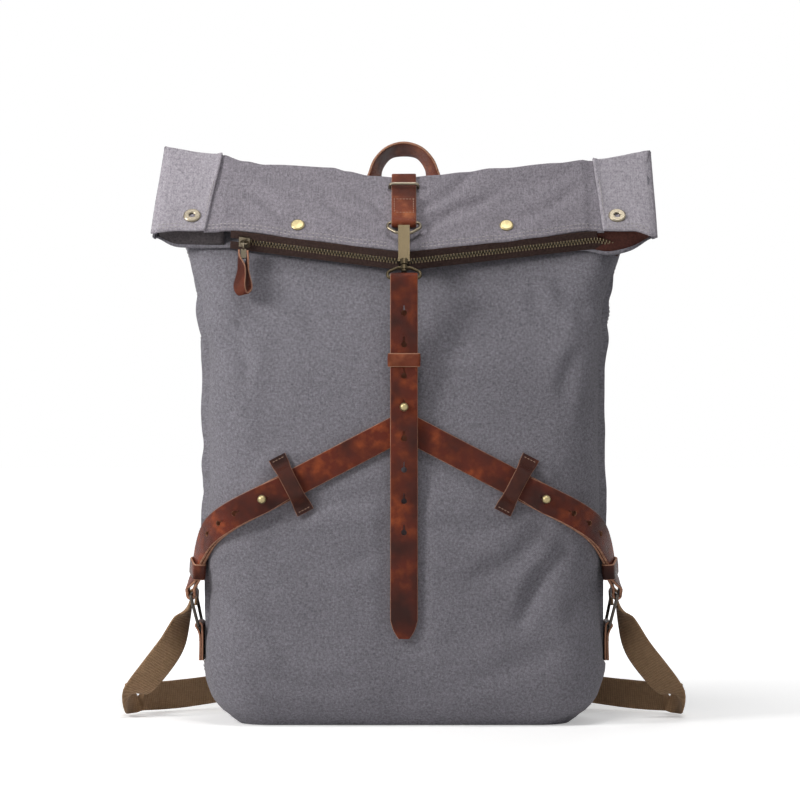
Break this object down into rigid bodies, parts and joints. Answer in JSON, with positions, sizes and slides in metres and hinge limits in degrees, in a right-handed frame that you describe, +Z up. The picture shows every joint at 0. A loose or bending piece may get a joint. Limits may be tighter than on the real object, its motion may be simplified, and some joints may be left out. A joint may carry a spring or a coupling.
{
  "type": "backpack",
  "caption": "Grey canvas backpack with a fold-over zipped top, a snap hook on a long leather strap, crossed leather side straps, a leather handle and padded shoulder straps.",
  "frame": {"origin": "middle of the flat base, on the floor", "axes": "+X to the right as the front is seen, +Y from the front to the wearer's back, +Z up"},
  "size_m": [0.4628, 0.1829, 0.4743],
  "materials": {
    "canvas": "grey heavy cotton canvas, plain weave, matt",
    "lining_cloth": "red-brown cotton lining, matt",
    "foam": "closed-cell foam sheet",
    "board": "stiff base board",
    "zip_tape": "dark brown zip tape",
    "antique_brass": "antique brass, worn",
    "brass": "pale brass, satin",
    "webbing": "khaki cotton webbing, ribbed",
    "pad_canvas": "grey canvas over foam",
    "leather": "oiled brown leather, pale cut edges"
  },
  "bodies": {
    "bag": {"back_foam": "foam", "back_panel": "canvas", "back_patch": "leather", "base_board": "board", "base_panel": "canvas", "bridge_keeper_left": "leather", "bridge_keeper_right": "leather", "closure_strap": "leather", "closure_stud": "brass", "cross_strap_left": "leather", "cross_strap_right": "leather", "cross_stud_left": "brass", "cross_stud_right": "brass", "front_panel": "canvas", "gusset_left": "canvas", "gusset_right": "canvas", "laptop_sleeve": "lining_cloth", "lining": "lining_cloth", "lower_webbing_left": "webbing", "lower_webbing_right": "webbing", "roll_keeper_left": "leather", "roll_keeper_right": "leather", "side_ring_left": "antique_brass", "side_ring_right": "antique_brass", "side_tab_left": "leather", "side_tab_right": "leather", "top_handle": "leather"},
    "flap": {"d_ring": "antique_brass", "flap_inner": "lining_cloth", "flap_outer": "canvas", "flap_strap": "leather", "flap_wing_left": "canvas", "flap_wing_right": "canvas", "rivet_cap_left": "brass", "rivet_cap_right": "brass", "snap_ring_left": "antique_brass", "snap_ring_right": "antique_brass", "strap_slide": "antique_brass", "zip_tape_lower": "zip_tape", "zip_tape_upper": "zip_tape", "zip_teeth_lower": "antique_brass", "zip_teeth_upper": "antique_brass"},
    "zip_slider": {"zip_slider": "antique_brass"},
    "zip_pull": {"pull_link": "antique_brass", "leather_pull": "leather"},
    "hook_eye": {"swivel_eye": "antique_brass"},
    "hook": {"hook_body": "antique_brass", "gate_pin": "antique_brass"},
    "gate": {"hook_gate": "antique_brass"},
    "strap_keeper": {"closure_keeper": "leather"},
    "shoulder_left": {"shoulder_pad_left": "pad_canvas", "strap_end_tab_left": "leather", "slide_buckle_left": "antique_brass"},
    "shoulder_right": {"shoulder_pad_right": "pad_canvas", "strap_end_tab_right": "leather", "slide_buckle_right": "antique_brass"}
  },
  "joints": [
    {"name": "flap_open", "type": "hinge", "parent": "bag", "child": "flap", "pos_m": [0, 0, 0.437], "axis": [-1, 0, 0], "range_deg": [0, 110]},
    {"name": "zip_slide", "type": "slide", "parent": "flap", "child": "zip_slider", "axis": [0.9856, -0.1065, -0.1315], "range_m": [0, 0.098]},
    {"name": "pull_swing", "type": "hinge", "parent": "zip_slider", "child": "zip_pull", "pos_m": [-0.12952, -0.04171, 0.38759], "axis": [-1, 0, 0], "range_deg": [0, 70]},
    {"name": "hook_swing", "type": "hinge", "parent": "flap", "child": "hook", "pos_m": [0, -0.0487, 0.39629], "axis": [-1, 0, 0], "range_deg": [0, 75]},
    {"name": "hook_swivel", "type": "hinge", "parent": "hook", "child": "hook_eye", "pos_m": [0, -0.07415, 0.3588], "axis": [0, 0.5, 0.866], "range_deg": [-1.2, 1.2]},
    {"name": "gate_press", "type": "hinge", "parent": "hook", "child": "gate", "pos_m": [0, -0.06165, 0.37225], "axis": [1, 0, 0], "range_deg": [0, 6], "stiffness_Nm_per_rad": 0.01},
    {"name": "keeper_slide", "type": "slide", "parent": "bag", "child": "strap_keeper", "axis": [0, -0.0235, 0.9997], "range_m": [-0.026, 0.04]},
    {"name": "shoulder_left_swing", "type": "hinge", "parent": "bag", "child": "shoulder_left", "pos_m": [-0.022, 0.03695, 0.38161], "axis": [1, 0, 0], "range_deg": [0, 35], "deforming": ["lower_webbing_left"]},
    {"name": "shoulder_right_swing", "type": "hinge", "parent": "bag", "child": "shoulder_right", "pos_m": [0.022, 0.03695, 0.38161], "axis": [1, 0, 0], "range_deg": [0, 35], "deforming": ["lower_webbing_right"]}
  ]
}
